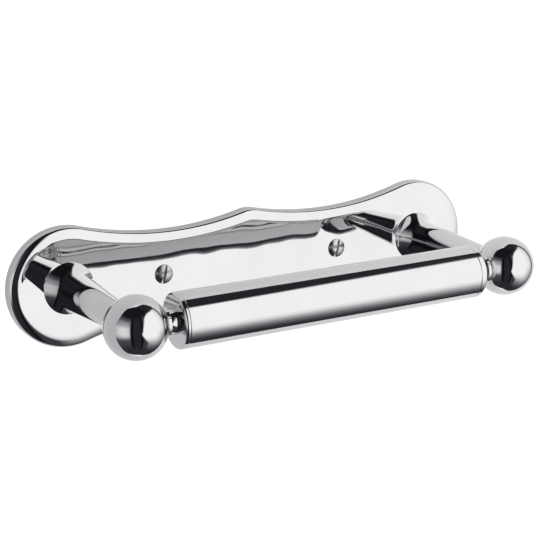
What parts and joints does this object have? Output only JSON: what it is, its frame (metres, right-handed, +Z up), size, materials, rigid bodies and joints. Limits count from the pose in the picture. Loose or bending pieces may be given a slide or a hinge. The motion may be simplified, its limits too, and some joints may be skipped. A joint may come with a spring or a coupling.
{
  "type": "toilet roll holder",
  "caption": "Wall holder for a toilet roll: a scalloped backplate carries two turned posts with ball ends, and a sprung roller turns between the balls and lifts out when pushed aside.",
  "frame": {"origin": "middle of the backplate's back face, on the wall plane", "axes": "+X along the backplate towards the sprung end, +Y into the wall, +Z up"},
  "size_m": [0.2206, 0.111, 0.0506],
  "materials": {
    "plate_chrome": "polished",
    "post_chrome": "polished",
    "ball_chrome": "polished",
    "roller_chrome": "polished",
    "pin_chrome": "polished",
    "screw_chrome": "polished, slightly worn slots",
    "plain_steel": "turned, unplated",
    "spring_steel": "drawn wire"
  },
  "bodies": {
    "fixed": {"backplate": "plate_chrome", "left_post": "post_chrome", "right_post": "post_chrome", "left_ball": "ball_chrome", "right_ball": "ball_chrome", "left_ball_stud": "plain_steel", "right_ball_stud": "plain_steel", "left_post_screw": "plain_steel", "right_post_screw": "plain_steel", "left_wall_screw": "screw_chrome", "right_wall_screw": "screw_chrome"},
    "plunger": {"sprung_pin": "pin_chrome"},
    "roller": {"roller_tube": "roller_chrome", "left_end_cap": "roller_chrome", "right_end_cap": "roller_chrome", "fixed_pin": "pin_chrome", "pin_washer": "plain_steel", "pin_nut": "plain_steel", "pin_spring": "spring_steel", "spring_seat": "plain_steel"}
  },
  "joints": [
    {"name": "roller_spin", "type": "hinge", "parent": "fixed", "child": "plunger", "pos_m": [0, -0.0731, 0], "axis": [1, 0, 0], "continuous": true},
    {"name": "roller_release", "type": "slide", "parent": "plunger", "child": "roller", "axis": [1, 0, 0], "range_m": [0, 0.00415], "stiffness_N_per_m": 1200, "springref_m": -0.006, "deforming": ["pin_spring"]}
  ]
}
